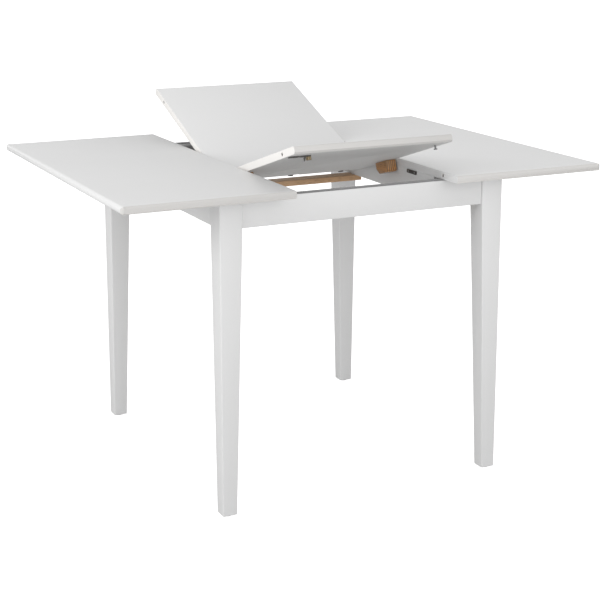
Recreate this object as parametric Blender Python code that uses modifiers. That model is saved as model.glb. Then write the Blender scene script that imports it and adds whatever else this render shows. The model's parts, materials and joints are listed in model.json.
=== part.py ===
"""Extendable dining table with a folding butterfly leaf, standing with its leaf half raised.

Metres, +Z up. The origin is on the floor under the middle of the frame. The two tops slide
apart along X. The leaf turns on two pivots and folds along X. The user's side is -Y.
"""
import math

import bmesh
import bpy
from mathutils import Matrix, Vector

# ---- driving dimensions ------------------------------------------------------------------

TABLE_HEIGHT = 0.750
TABLE_DEPTH = 0.900
TOP_LENGTH = 0.400
BOARD = 0.018
GAP_HALF = 0.203            # from the middle to each top's inner edge, pulled apart
LEAF_HALF_WIDTH = 0.199
EDGE_ROUND = 0.007
EDGE_UNDERCUT = 0.009
PLAN_CORNER = 0.020
GAP = 0.0003

FRAME_X = 0.361             # outer faces of the legs
FRAME_Y = 0.394
LEG_TOP = 0.054
LEG_FOOT = 0.035
LEG_STRAIGHT_ABOVE = 0.655
LEG_HEIGHT = 0.730
APRON_BOTTOM = 0.665
APRON_THICK = 0.020
APRON_SETBACK = 0.005
STRIP_THICK = 0.0014
CROSS_FACE = 0.2035         # inner face of each cross board
CROSS_THICK = 0.018

RAIL_WIDTH = 0.025
RAIL_BOTTOM = 0.700
RAIL_TOP = 0.7240
CROSS_TOP = 0.7315
CROSS_BOTTOM = 0.671
GROOVE_WIDTH = 0.006
GROOVE_DEEP = 0.0175
GROOVE_Y = {"left": 0.3620, "right": 0.3495}
RUNNER_OUTER = 0.3055
RUNNER_INNER = 0.020

PIVOT_Y = -0.125
PIVOT_Z = 0.717
FOLD_Z = TABLE_HEIGHT
NEAR_TILT = math.radians(17.2)
FOLD_PER_TILT = 2.25        # the fold closes this many times faster than the near half tilts
PIVOT_RADIUS = 0.004

PIN_Y = 0.385
PIN_RADIUS = 0.0039
PIN_PROUD = 0.0035
PIN_DEEP = 0.012
HINGE_X = (-0.144, 0.004, 0.144)
FITTING_Y = -0.405          # catch and latch, in the overhang ahead of the apron
CATCH_X = 0.178
KNOB_X = -0.146

BOARD_BOTTOM = TABLE_HEIGHT - BOARD
APRON_TOP = LEG_HEIGHT
APRON_FACE = FRAME_Y - APRON_SETBACK - APRON_THICK
SIDES = {"left": -1, "right": 1}
ENDS = {"front": -1, "rear": 1}

# ---- scene and materials -----------------------------------------------------------------

for old in list(bpy.data.objects):
    bpy.data.objects.remove(old, do_unlink=True)

parts = bpy.data.collections.new("extendable_dining_table")
cutters = bpy.data.collections.new("cutters")
for collection in (parts, cutters):
    bpy.context.scene.collection.children.link(collection)


def material(name, colour, roughness, metallic=0.0):
    made = bpy.data.materials.new(name)
    made.use_nodes = True
    shader = made.node_tree.nodes["Principled BSDF"]
    shader.inputs["Base Color"].default_value = (*colour, 1.0)
    shader.inputs["Roughness"].default_value = roughness
    shader.inputs["Metallic"].default_value = metallic
    made.diffuse_color = (*colour, 1.0)
    return made


LACQUER = material("white_lacquer", (0.75, 0.75, 0.75), 0.42)
FRAME_LACQUER = material("frame_lacquer", (0.72, 0.72, 0.72), 0.48)
WOOD = material("brown_beech", (0.16, 0.08, 0.04), 0.55)
BLOCK_WOOD = material("corner_block_wood", (0.42, 0.30, 0.19), 0.65)
FELT = material("grey_felt", (0.10, 0.10, 0.10), 0.95)
STEEL = material("zinc_steel", (0.45, 0.45, 0.46), 0.35, 1.0)
DARK_STEEL = material("black_oxide_steel", (0.04, 0.04, 0.04), 0.4, 1.0)
BRASS = material("aged_brass", (0.32, 0.22, 0.08), 0.4, 1.0)
RAIL_METAL = material("grey_rail_metal", (0.11, 0.11, 0.115), 0.45, 1.0)
NYLON = material("white_nylon", (0.7, 0.7, 0.68), 0.5)


# ---- modelling helpers -------------------------------------------------------------------

def to_object(name, mesh_maker, look, location=(0, 0, 0), parent=None, collection=parts):
    """An object whose mesh is filled in by mesh_maker, placed under an optional empty."""
    shape = bmesh.new()
    mesh_maker(shape)
    mesh = bpy.data.meshes.new(name)
    shape.to_mesh(mesh)
    shape.free()
    if look:
        mesh.materials.append(look)
    made = bpy.data.objects.new(name, mesh)
    collection.objects.link(made)
    made.location = Vector(location)
    if parent:
        made.location -= Vector(parent["flat_place"])
        made.parent = parent
    return made


def empty(name, flat_place, parent=None):
    """A turning or sliding point. Its children are laid out as if nothing were turned."""
    made = bpy.data.objects.new(name, None)
    made["flat_place"] = tuple(flat_place)
    parts.objects.link(made)
    made.location = Vector(flat_place)
    if parent:
        made.location -= Vector(parent["flat_place"])
        made.parent = parent
    return made


def box(shape, size, centre=(0, 0, 0)):
    bmesh.ops.create_cube(
        shape, size=1.0, matrix=Matrix.Translation(centre) @ Matrix.Diagonal((*size, 1.0))
    )


def rod(shape, radius, length, axis="Z", centre=(0, 0, 0), sides=20, tip_radius=None):
    turn = {
        "X": Matrix.Rotation(math.pi / 2, 4, "Y"),
        "Y": Matrix.Rotation(-math.pi / 2, 4, "X"),
        "Z": Matrix.Identity(4),
    }[axis]
    bmesh.ops.create_cone(
        shape, cap_ends=True, segments=sides, radius1=radius,
        radius2=radius if tip_radius is None else tip_radius, depth=length,
        matrix=Matrix.Translation(centre) @ turn,
    )


def bevel(shape, edges, width, steps):
    bmesh.ops.bevel(
        shape, geom=edges, offset=width, offset_type="OFFSET", segments=steps,
        affect="EDGES", profile=0.5, clamp_overlap=True, material=-1,
    )


def edges_where(shape, test):
    """The edges whose two ends both pass the test."""
    return [edge for edge in shape.edges if all(test(vert.co) for vert in edge.verts)]


def cut(target, cutter):
    step = target.modifiers.new("cut_" + cutter.name, "BOOLEAN")
    step.operation = "DIFFERENCE"
    step.solver = "EXACT"
    step.object = cutter


def join(target, addition):
    step = target.modifiers.new("join_" + addition.name, "BOOLEAN")
    step.operation = "UNION"
    step.solver = "EXACT"
    step.object = addition


def helper(name, mesh_maker, location=(0, 0, 0), parent=None):
    """A cutter or a joined lump, hidden from the finished part."""
    made = to_object(name, mesh_maker, None, location, parent, cutters)
    made.hide_render = True
    made.display_type = "WIRE"
    return made


def soften(target, width):
    step = target.modifiers.new("soften", "BEVEL")
    step.width = width
    step.segments = 1
    step.limit_method = "ANGLE"
    step.angle_limit = math.radians(40)


def shade_round(target):
    target.data.shade_smooth()
    target.data.set_sharp_from_angle(angle=math.radians(35))


# ---- the boards: two tops and two leaf halves ----------------------------------------------

def shaped_board(size, rounded_x, rounded_y):
    """A board whose outer edges are round above and bevelled back below.

    rounded_x and rounded_y list the signs of the sides that carry the profile.
    """
    half = Vector(size) / 2
    near = 1e-5

    def maker(shape):
        box(shape, size)

        def outer(co):
            return any(abs(co.x - sign * half.x) < near for sign in rounded_x) or any(
                abs(co.y - sign * half.y) < near for sign in rounded_y
            )

        if rounded_x:
            corners = edges_where(shape, lambda co: any(
                abs(co.x - sx * half.x) < near and abs(co.y - sy * half.y) < near
                for sx in rounded_x for sy in rounded_y
            ))
            bevel(shape, corners, PLAN_CORNER, 4)

        def on_rim(edge, height):
            flat = all(abs(vert.co.z - height) < near for vert in edge.verts)
            sides = [face for face in edge.link_faces if abs(face.normal.z) < 0.5]
            return flat and len(sides) == 1 and profiled(sides[0])

        def profiled(face):
            middle = face.calc_center_median()
            return (
                outer(middle)
                or (abs(face.normal.x) > 0.05 and abs(face.normal.y) > 0.05)
            )

        shape.normal_update()
        for height, width, steps in ((half.z, EDGE_ROUND, 4), (-half.z, EDGE_UNDERCUT, 1)):
            bevel(shape, [e for e in shape.edges if on_rim(e, height)], width, steps)

    return maker


def top(side):
    """One sliding top, with its runners, alignment pins or pin holes."""
    sign = SIDES[side]
    slide = empty(f"{side}_top_slide", (sign * GAP_HALF, 0, TABLE_HEIGHT))
    middle = (sign * (GAP_HALF + TOP_LENGTH / 2), 0, TABLE_HEIGHT - BOARD / 2)
    size = (TOP_LENGTH, TABLE_DEPTH, BOARD)
    board = to_object(f"{side}_top", shaped_board(size, (sign,), (-1, 1)), LACQUER, middle, slide)

    for end, end_sign in ENDS.items():
        hole = helper(
            f"{side}_top_{end}_hole",
            lambda shape: rod(shape, PIN_RADIUS + GAP, 2 * PIN_DEEP, "X"),
            (sign * GAP_HALF, end_sign * PIN_Y, middle[2]), slide,
        )
        cut(board, hole)

    length = RUNNER_OUTER - RUNNER_INNER
    height = GROOVE_DEEP - 0.001
    bar_middle = RAIL_TOP - height / 2
    flange_z = BOARD_BOTTOM - GAP - 0.001
    for end, end_sign in ENDS.items():
        y = end_sign * GROOVE_Y[side]
        place = (sign * (RUNNER_INNER + length / 2), y, bar_middle)

        def bar(shape, sign=sign):
            box(shape, (length, GROOVE_WIDTH - 0.0008, height))
            bevel(shape, edges_where(shape, lambda co: co.z < 0 and co.x * sign < 0), 0.006, 1)

        runner = to_object(f"{side}_runner_{end}", bar, STEEL, place, slide)
        flange_length = RUNNER_OUTER - GAP_HALF - 0.004
        flange_x = sign * (RUNNER_OUTER + GAP_HALF + 0.004) / 2
        web_low, web_high = RAIL_TOP - 0.003, flange_z + 0.0005
        join(runner, helper(
            f"{side}_runner_{end}_web",
            lambda shape: box(shape, (flange_length, GROOVE_WIDTH - 0.0012, web_high - web_low)),
            (flange_x, y, (web_low + web_high) / 2), slide,
        ))
        join(runner, helper(
            f"{side}_runner_{end}_flange",
            lambda shape: box(shape, (flange_length - 0.0004, RAIL_WIDTH - 0.003, 0.002)),
            (flange_x, end_sign * (APRON_FACE - GAP - RAIL_WIDTH / 2), flange_z), slide,
        ))


def alignment_pin(name, face_x, out, y, parent):
    """A dowel let into an edge at face_x, standing proud of it in the direction out."""
    length = PIN_DEEP - 0.001 + PIN_PROUD

    def maker(shape):
        rod(shape, PIN_RADIUS, length, "X", sides=16)
        bevel(shape, edges_where(shape, lambda co: co.x * out > length / 2 - 1e-5), 0.0012, 1)

    x = face_x + out * (PIN_PROUD - length / 2)
    shade_round(to_object(name, maker, WOOD, (x, y, TABLE_HEIGHT - BOARD / 2), parent))


def leaf_half(name, y_inner, y_outer, parent):
    """Half of the leaf. The edge at y_outer carries the profile, the fold edge is square."""
    sign = 1 if y_outer > 0 else -1
    depth = abs(y_outer - y_inner)
    board = to_object(
        name, shaped_board((2 * LEAF_HALF_WIDTH, depth, BOARD), (), (sign,)), LACQUER,
        (0, (y_inner + y_outer) / 2, TABLE_HEIGHT - BOARD / 2), parent,
    )
    for side, side_sign in SIDES.items():
        hole = helper(
            f"{name}_{side}_hole",
            lambda shape: rod(shape, PIN_RADIUS + GAP, 2 * PIN_DEEP, "X"),
            (side_sign * LEAF_HALF_WIDTH, sign * PIN_Y, TABLE_HEIGHT - BOARD / 2), parent,
        )
        cut(board, hole)
    for number, x in enumerate(HINGE_X, 1):
        mortise = helper(
            f"{name}_mortise_{number}", lambda shape: box(shape, (0.0306, 0.0246, 0.0150)),
            (x, y_inner, TABLE_HEIGHT - 0.0122), parent,
        )
        cut(board, mortise)
    return board


def fold_hinge(number, x, near_parent, far_parent):
    """A concealed link hinge: a body let into each half, the knuckle standing on the near one."""
    knuckle_z = TABLE_HEIGHT - 0.0160
    knuckle_x = x - 0.009

    def body(shape):
        box(shape, (0.030, 0.0110, 0.0120))

    near = to_object(
        f"fold_hinge_near_{number}", body, DARK_STEEL,
        (x, -0.0065, TABLE_HEIGHT - 0.0112), near_parent,
    )
    knuckle = helper(
        f"fold_hinge_knuckle_{number}", lambda shape: rod(shape, 0.0040, 0.012, "X", sides=16),
        (knuckle_x, -0.0006, knuckle_z), near_parent,
    )
    join(near, knuckle)
    far = to_object(
        f"fold_hinge_far_{number}", body, DARK_STEEL,
        (x, 0.0065, TABLE_HEIGHT - 0.0112), far_parent,
    )
    groove = helper(
        f"fold_hinge_groove_{number}", lambda shape: rod(shape, 0.0048, 0.014, "X", sides=16),
        (knuckle_x, -0.0006, knuckle_z), far_parent,
    )
    cut(far, groove)


# ---- the frame -------------------------------------------------------------------------------

def leg(side, end):
    """Square at the top, its two inner faces drawn in towards the foot."""
    sx, sy = SIDES[side], ENDS[end]
    foot_bottom = 0.0033
    height = LEG_HEIGHT - foot_bottom

    def maker(shape):
        box(shape, (LEG_TOP, LEG_TOP, height), (-sx * LEG_TOP / 2, -sy * LEG_TOP / 2, height / 2))
        bmesh.ops.bisect_plane(
            shape, geom=shape.verts[:] + shape.edges[:] + shape.faces[:],
            plane_co=(0, 0, LEG_STRAIGHT_ABOVE - foot_bottom), plane_no=(0, 0, 1),
        )
        for vert in shape.verts:
            if vert.co.z < 1e-6:
                if abs(vert.co.x) > 1e-6:
                    vert.co.x = -sx * LEG_FOOT
                if abs(vert.co.y) > 1e-6:
                    vert.co.y = -sy * LEG_FOOT
        upright = [edge for edge in shape.edges if abs(edge.verts[0].co.z - edge.verts[1].co.z) > 1e-4]
        bevel(shape, upright, 0.0025, 2)
        bevel(shape, edges_where(shape, lambda co: co.z < 1e-6), 0.0025, 1)

    made = to_object(
        f"leg_{end}_{side}", maker, FRAME_LACQUER, (sx * FRAME_X, sy * FRAME_Y, foot_bottom)
    )
    inner_x, inner_y = sx * (FRAME_X - LEG_TOP), sy * (FRAME_Y - LEG_TOP)
    diagonal = math.atan2(-sy, -sx)
    bolt_z = 0.684

    def along_diagonal(radius, length, offset, sides):
        """A rod from offset behind the leg's inner corner, running out along the diagonal."""
        def maker(shape):
            rod(shape, radius, length, "X", (offset + length / 2, 0, 0), sides)
            bmesh.ops.rotate(
                shape, verts=shape.verts[:], cent=(0, 0, 0),
                matrix=Matrix.Rotation(diagonal, 3, "Z"),
            )
        return maker

    corner = (inner_x, inner_y, bolt_z)
    cut(made, helper(f"leg_{end}_{side}_bolt_hole", along_diagonal(0.0042, 0.05, -0.030, 16), corner))

    plane_x = sx * (FRAME_X - APRON_SETBACK - APRON_THICK - GAP)
    plane_y = sy * (FRAME_Y - APRON_SETBACK - APRON_THICK - GAP)
    block_start, block_thick = 0.003, 0.022

    def block(shape):
        outline = []
        for reach in (block_start, block_start + block_thick):
            total = abs(inner_x) + abs(inner_y) - reach * math.sqrt(2)
            outline.append((
                (sx * (total - abs(plane_y)), plane_y),
                (plane_x, sy * (total - abs(plane_x))),
            ))
        (a, b), (c, d) = outline
        ring = [shape.verts.new((x, y, 0)) for x, y in (a, c, d, b)]
        face = shape.faces.new(ring)
        raised = bmesh.ops.extrude_face_region(shape, geom=[face])["geom"]
        for item in raised:
            if isinstance(item, bmesh.types.BMVert):
                item.co.z += 0.028
        bmesh.ops.recalc_face_normals(shape, faces=shape.faces[:])

    corner_block = to_object(
        f"corner_block_{end}_{side}", block, BLOCK_WOOD, (0, 0, bolt_z - 0.014)
    )
    cut(corner_block, helper(
        f"corner_block_{end}_{side}_hole", along_diagonal(0.0042, 0.06, -0.010, 16), corner
    ))
    bolt = to_object(
        f"corner_bolt_{end}_{side}", along_diagonal(0.0038, 0.062, -0.029, 12), STEEL, corner
    )
    nut_start = block_start + block_thick + GAP
    join(bolt, helper(
        f"corner_nut_{end}_{side}", along_diagonal(0.0072, 0.0055, nut_start, 6), corner
    ))

    def glide(shape):
        rod(shape, 0.011, 0.003, sides=24)
        bevel(shape, edges_where(shape, lambda co: co.z < 0), 0.0008, 1)

    shade_round(to_object(
        f"foot_glide_{end}_{side}", glide, NYLON,
        (sx * (FRAME_X - LEG_FOOT / 2), sy * (FRAME_Y - LEG_FOOT / 2), 0.0015),
    ))


def long_apron(end):
    sign = ENDS[end]
    length = 2 * (FRAME_X - LEG_TOP - GAP)
    y = sign * (FRAME_Y - APRON_SETBACK - APRON_THICK / 2)
    size = (length, APRON_THICK, APRON_TOP - APRON_BOTTOM)
    middle_z = (APRON_TOP + APRON_BOTTOM) / 2
    soften(to_object(f"{end}_apron", lambda shape: box(shape, size), FRAME_LACQUER, (0, y, middle_z)), 0.0012)
    to_object(
        f"glide_strip_{end}", lambda shape: box(shape, (length - 0.004, APRON_THICK - 0.001, STRIP_THICK)),
        FELT, (0, y, APRON_TOP + GAP + STRIP_THICK / 2),
    )


def end_apron(side):
    sign = SIDES[side]
    length = 2 * (FRAME_Y - LEG_TOP - GAP)
    x = sign * (FRAME_X - APRON_SETBACK - APRON_THICK / 2)
    soften(to_object(
        f"{side}_apron",
        lambda shape: box(shape, (APRON_THICK, length, APRON_TOP - APRON_BOTTOM)),
        FRAME_LACQUER, (x, 0, (APRON_TOP + APRON_BOTTOM) / 2),
    ), 0.0012)


def guide_rail(end):
    """Grooved metal rail along a long apron. Each top's runner has a groove of its own."""
    sign = ENDS[end]
    length = 2 * (FRAME_X - LEG_TOP - 0.0005)
    y = sign * (APRON_FACE - GAP - RAIL_WIDTH / 2)
    size = (length, RAIL_WIDTH, RAIL_TOP - RAIL_BOTTOM)
    rail = to_object(
        f"guide_rail_{end}", lambda shape: box(shape, size), RAIL_METAL,
        (0, y, (RAIL_TOP + RAIL_BOTTOM) / 2),
    )
    for side in SIDES:
        cut(rail, helper(
            f"guide_rail_{end}_groove_{side}",
            lambda shape: box(shape, (length + 0.02, GROOVE_WIDTH, GROOVE_DEEP + 0.01)),
            (0, sign * GROOVE_Y[side], RAIL_TOP - GROOVE_DEEP / 2 + 0.005),
        ))


def cross_board(side):
    """The board beside the leaf. It holds the pivot, and the rails pass through its corners."""
    sign = SIDES[side]
    reach = APRON_FACE - GAP
    notch_y = reach - RAIL_WIDTH - GAP
    top_z, notch_z = CROSS_TOP, RAIL_BOTTOM - GAP
    outline = [
        (-reach, CROSS_BOTTOM), (reach, CROSS_BOTTOM), (reach, notch_z), (notch_y, notch_z),
        (notch_y, top_z), (-notch_y, top_z), (-notch_y, notch_z), (-reach, notch_z),
    ]

    def board(shape):
        ring = [shape.verts.new((-CROSS_THICK / 2, y, z)) for y, z in outline]
        raised = bmesh.ops.extrude_face_region(shape, geom=[shape.faces.new(ring)])["geom"]
        for item in raised:
            if isinstance(item, bmesh.types.BMVert):
                item.co.x += CROSS_THICK
        bmesh.ops.recalc_face_normals(shape, faces=shape.faces[:])

    made = to_object(
        f"cross_board_{side}", board, FRAME_LACQUER, (sign * (CROSS_FACE + CROSS_THICK / 2), 0, 0)
    )
    cut(made, helper(
        f"cross_board_{side}_pivot_hole",
        lambda shape: rod(shape, PIVOT_RADIUS + GAP, 0.05, "X", sides=24),
        (sign * CROSS_FACE, PIVOT_Y, PIVOT_Z),
    ))
    plate = (0.0028, 0.044, 0.009)
    soften(to_object(
        f"stop_plate_{side}", lambda shape: box(shape, plate), DARK_STEEL,
        (sign * (CROSS_FACE - GAP - plate[0] / 2), -0.243, 0.7265),
    ), 0.0008)


def stow_plank():
    """Plank screwed under both cross boards, on which the folded leaf is stowed."""
    length = 2 * (CROSS_FACE + CROSS_THICK)
    width, thick = 0.045, 0.014
    middle = (0, 0.0705, CROSS_BOTTOM - GAP - thick / 2)
    plank = to_object("stow_plank", lambda shape: box(shape, (length, width, thick)), WOOD, middle)
    soften(plank, 0.001)
    for side, sign in SIDES.items():
        x = sign * (CROSS_FACE + CROSS_THICK / 2)
        board = bpy.data.objects[f"cross_board_{side}"]
        bore = helper(
            f"stow_screw_{side}_bore", lambda shape: rod(shape, 0.0021, 0.060, sides=16),
            (x, middle[1], CROSS_BOTTOM - 0.012),
        )
        cut(plank, bore)
        cut(board, bore)

        def screw(shape):
            rod(shape, 0.0019, 0.028, sides=12, centre=(0, 0, 0.014))

        made = to_object(
            f"stow_screw_{side}", screw, DARK_STEEL, (x, middle[1], CROSS_BOTTOM - thick - GAP * 2)
        )
        join(made, helper(
            f"stow_screw_{side}_head", lambda shape: rod(shape, 0.0042, 0.0022, sides=20),
            (x, middle[1], CROSS_BOTTOM - thick - GAP * 2 - 0.0009),
        ))


# ---- the leaf's fittings -----------------------------------------------------------------------

def pivot_set(side, near_parent):
    """A wooden block under the near half, its pin in the cross board and a washer between."""
    sign = SIDES[side]
    inner, outer, height = 0.1735, LEAF_HALF_WIDTH, 0.028
    front, rear = {"left": -0.159, "right": -0.174}[side], -0.118
    half_length = (rear - front) / 2
    top_z = BOARD_BOTTOM - GAP

    def block_shape(shape):
        box(shape, (outer - inner, 2 * half_length, height))
        bevel(shape, edges_where(shape, lambda co: co.z < 0 and co.y < 0), 0.004, 1)
        bevel(shape, edges_where(shape, lambda co: co.z < 0 and co.y > half_length - 1e-5), 0.013, 1)

    block = to_object(
        f"pivot_block_{side}", block_shape, WOOD,
        (sign * (inner + outer) / 2, (front + rear) / 2, top_z - height / 2), near_parent,
    )
    cut(block, helper(
        f"pivot_block_{side}_bore",
        lambda shape: rod(shape, PIVOT_RADIUS + 0.00005, 0.050, "X", sides=24),
        (sign * (inner + 0.004 + 0.025), PIVOT_Y, PIVOT_Z), near_parent,
    ))
    pin_inner, pin_outer = inner + 0.005, CROSS_FACE + CROSS_THICK - 0.001
    shade_round(to_object(
        f"pivot_pin_{side}",
        lambda shape: rod(shape, PIVOT_RADIUS, pin_outer - pin_inner, "X", sides=24),
        STEEL, (sign * (pin_inner + pin_outer) / 2, PIVOT_Y, PIVOT_Z), near_parent,
    ))
    washer_thick = CROSS_FACE - outer - 2 * GAP
    washer = to_object(
        f"pivot_washer_{side}", lambda shape: rod(shape, 0.008, washer_thick, "X", sides=24),
        NYLON, (sign * (outer + GAP + washer_thick / 2), PIVOT_Y, PIVOT_Z), near_parent,
    )
    cut(washer, helper(
        f"pivot_washer_{side}_bore",
        lambda shape: rod(shape, PIVOT_RADIUS + 0.0002, 0.02, "X", sides=24),
        (sign * outer, PIVOT_Y, PIVOT_Z), near_parent,
    ))


def latch(near_parent, latch_turn):
    """A flat plate with a brass knob hung under its end, at the near left corner."""
    plate_x, plate_length, plate_thick = -0.167, 0.054, 0.0025
    top_z = BOARD_BOTTOM - GAP
    soften(to_object(
        "latch_plate", lambda shape: box(shape, (plate_length, 0.013, plate_thick)), DARK_STEEL,
        (plate_x, FITTING_Y, top_z - plate_thick / 2), near_parent,
    ), 0.0004)
    knob_top = top_z - plate_thick - GAP

    def disc(shape):
        rod(shape, 0.0062, 0.007, sides=24)
        bevel(shape, edges_where(shape, lambda co: co.z < 0), 0.0015, 2)

    knob = to_object(
        "latch_knob", disc, BRASS, (KNOB_X, FITTING_Y, knob_top - 0.0035), latch_turn
    )
    arm = (KNOB_X - 0.0075, FITTING_Y, knob_top - 0.0020)
    join(knob, helper(
        "latch_knob_arm", lambda shape: box(shape, (0.009, 0.0040, 0.0030)), arm, latch_turn,
    ))
    join(knob, helper(
        "latch_knob_hook", lambda shape: box(shape, (0.0022, 0.0036, 0.0080)),
        (arm[0] - 0.0030, FITTING_Y, knob_top - 0.0052), latch_turn,
    ))


def catch(catch_turn):
    """A headed steel stud that hooks into the latch of the next board."""
    stem = 0.0080
    stud = to_object(
        "tee_catch", lambda shape: rod(shape, 0.0020, stem, sides=16), STEEL,
        (CATCH_X, FITTING_Y, BOARD_BOTTOM - GAP - stem / 2), catch_turn,
    )
    join(stud, helper(
        "tee_catch_head", lambda shape: box(shape, (0.008, 0.0042, 0.0025)),
        (CATCH_X, FITTING_Y, BOARD_BOTTOM - GAP - stem - 0.0010), catch_turn,
    ))


# ---- build ---------------------------------------------------------------------------------------

for side_name in SIDES:
    for end_name in ENDS:
        leg(side_name, end_name)
    end_apron(side_name)
    cross_board(side_name)
    top(side_name)
for end_name in ENDS:
    long_apron(end_name)
    guide_rail(end_name)
stow_plank()

leaf_pivot = empty("leaf_pivot", (0, PIVOT_Y, PIVOT_Z))
leaf_fold = empty("leaf_fold", (0, 0, FOLD_Z), leaf_pivot)
latch_turn = empty("latch_turn", (KNOB_X, FITTING_Y, BOARD_BOTTOM), leaf_pivot)
catch_turn = empty("catch_turn", (CATCH_X, FITTING_Y, BOARD_BOTTOM), leaf_pivot)

leaf_half("leaf_near_half", -GAP, -TABLE_DEPTH / 2, leaf_pivot)
leaf_half("leaf_far_half", GAP, TABLE_DEPTH / 2, leaf_fold)
for hinge_number, hinge_x in enumerate(HINGE_X, 1):
    fold_hinge(hinge_number, hinge_x, leaf_pivot, leaf_fold)
for side_name in SIDES:
    pivot_set(side_name, leaf_pivot)
latch(leaf_pivot, latch_turn)
catch(catch_turn)

left_slide = bpy.data.objects["left_top_slide"]
for end_name, end_side in ENDS.items():
    alignment_pin(f"top_pin_{end_name}", -GAP_HALF, 1, end_side * PIN_Y, left_slide)
alignment_pin("leaf_pin_front", LEAF_HALF_WIDTH, 1, -PIN_Y, leaf_pivot)
alignment_pin("leaf_pin_rear", LEAF_HALF_WIDTH, 1, PIN_Y, leaf_fold)

leaf_pivot.rotation_euler.x = -NEAR_TILT
leaf_fold.rotation_euler.x = NEAR_TILT * FOLD_PER_TILT
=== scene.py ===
# Extending dining table, pulled apart, with its folding leaf half raised.
import json
import math

import bmesh
import bpy
from mathutils import Matrix, Vector


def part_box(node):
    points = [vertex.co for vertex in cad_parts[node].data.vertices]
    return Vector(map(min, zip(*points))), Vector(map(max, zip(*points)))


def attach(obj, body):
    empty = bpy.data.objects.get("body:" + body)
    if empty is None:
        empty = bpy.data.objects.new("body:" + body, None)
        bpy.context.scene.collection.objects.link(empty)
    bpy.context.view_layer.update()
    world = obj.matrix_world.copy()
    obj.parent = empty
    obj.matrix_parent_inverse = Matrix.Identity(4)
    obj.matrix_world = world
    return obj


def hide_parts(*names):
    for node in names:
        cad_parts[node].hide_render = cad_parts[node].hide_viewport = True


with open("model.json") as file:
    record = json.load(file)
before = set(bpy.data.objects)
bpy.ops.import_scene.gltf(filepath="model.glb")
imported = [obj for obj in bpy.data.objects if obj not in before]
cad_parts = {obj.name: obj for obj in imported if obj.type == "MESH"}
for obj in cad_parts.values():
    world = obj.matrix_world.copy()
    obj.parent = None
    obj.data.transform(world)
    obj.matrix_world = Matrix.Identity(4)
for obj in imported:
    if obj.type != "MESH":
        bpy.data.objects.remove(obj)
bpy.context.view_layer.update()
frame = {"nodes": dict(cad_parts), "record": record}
nodeObjects = frame["nodes"]
joints = {joint["name"]: joint for joint in frame["record"]["behaviour"]["joints"]}
print("frame loaded:", len(nodeObjects), "nodes")


# where things are
bodyOfNode = {
    node: body for body, nodes in frame["record"]["behaviour"]["bodies"].items() for node in nodes
}
slotOfNode = {part["node"]: part["material_slot"] for part in frame["record"]["subparts"]}


def nodeBox(node):
    low, high = (Vector(corner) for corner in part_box(node))
    return low, high, (low + high) / 2, high - low


topLow, topHigh, topMiddle, topSize = nodeBox("left_top")
tableTop = topHigh.z  # height of the finished surface
boardThick = topSize.z
boardUnder = topLow.z
fitGap = 0.0003  # left between neighbouring solids

pivotPoint = Vector(joints["leaf_pivot"]["pos_m"])
nearTilt = math.radians(-joints["leaf_pivot"]["range_deg"][0])
foldTurn = math.radians(-joints["leaf_fold"]["range_deg"][0])
foldLine = Vector((0, 0, tableTop))


def turnAbout(point, angle):
    return Matrix.Translation(point) @ Matrix.Rotation(angle, 4, "X") @ Matrix.Translation(-point)


# from the flat, closed-up leaf to where each half stands
placeNear = turnAbout(pivotPoint, -nearTilt)
placeFar = placeNear @ turnAbout(foldLine, foldTurn)
placeFixed = Matrix.Identity(4)


# helpers for shader trees
def putNode(tree, kind, inputs=None, **settings):
    made = tree.nodes.new(kind)
    for key, value in settings.items():
        setattr(made, key, value)
    for key, value in (inputs or {}).items():
        if isinstance(value, bpy.types.NodeSocket):
            tree.links.new(value, made.inputs[key])
        else:
            made.inputs[key].default_value = value
    return made


def remap(tree, value, low, high, toLow=0.0, toHigh=1.0):
    made = putNode(tree, "ShaderNodeMapRange", {
        "Value": value, "From Min": low, "From Max": high, "To Min": toLow, "To Max": toHigh,
    })
    return made.outputs["Result"]


def calc(tree, operation, first, second):
    made = putNode(tree, "ShaderNodeMath", {0: first, 1: second}, operation=operation)
    return made.outputs["Value"]


def mixColour(tree, factor, first, second):
    made = tree.nodes.new("ShaderNodeMix")
    made.data_type = "RGBA"
    for socket, value in ((0, factor), (6, first), (7, second)):
        if isinstance(value, bpy.types.NodeSocket):
            tree.links.new(value, made.inputs[socket])
        else:
            made.inputs[socket].default_value = value
    return made.outputs[2]


def colour(red, green, blue):
    return (red, green, blue, 1.0)


def startGroup(name, inputs, outputs):
    tree = bpy.data.node_groups.new(name, "ShaderNodeTree")
    for socketName, kind, value in inputs:
        socket = tree.interface.new_socket(socketName, in_out="INPUT", socket_type=kind)
        if value is not None:
            socket.default_value = value
    for socketName, kind in outputs:
        tree.interface.new_socket(socketName, in_out="OUTPUT", socket_type=kind)
    return tree, tree.nodes.new("NodeGroupInput"), tree.nodes.new("NodeGroupOutput")


number, direction = "NodeSocketFloat", "NodeSocketVector"


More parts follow.
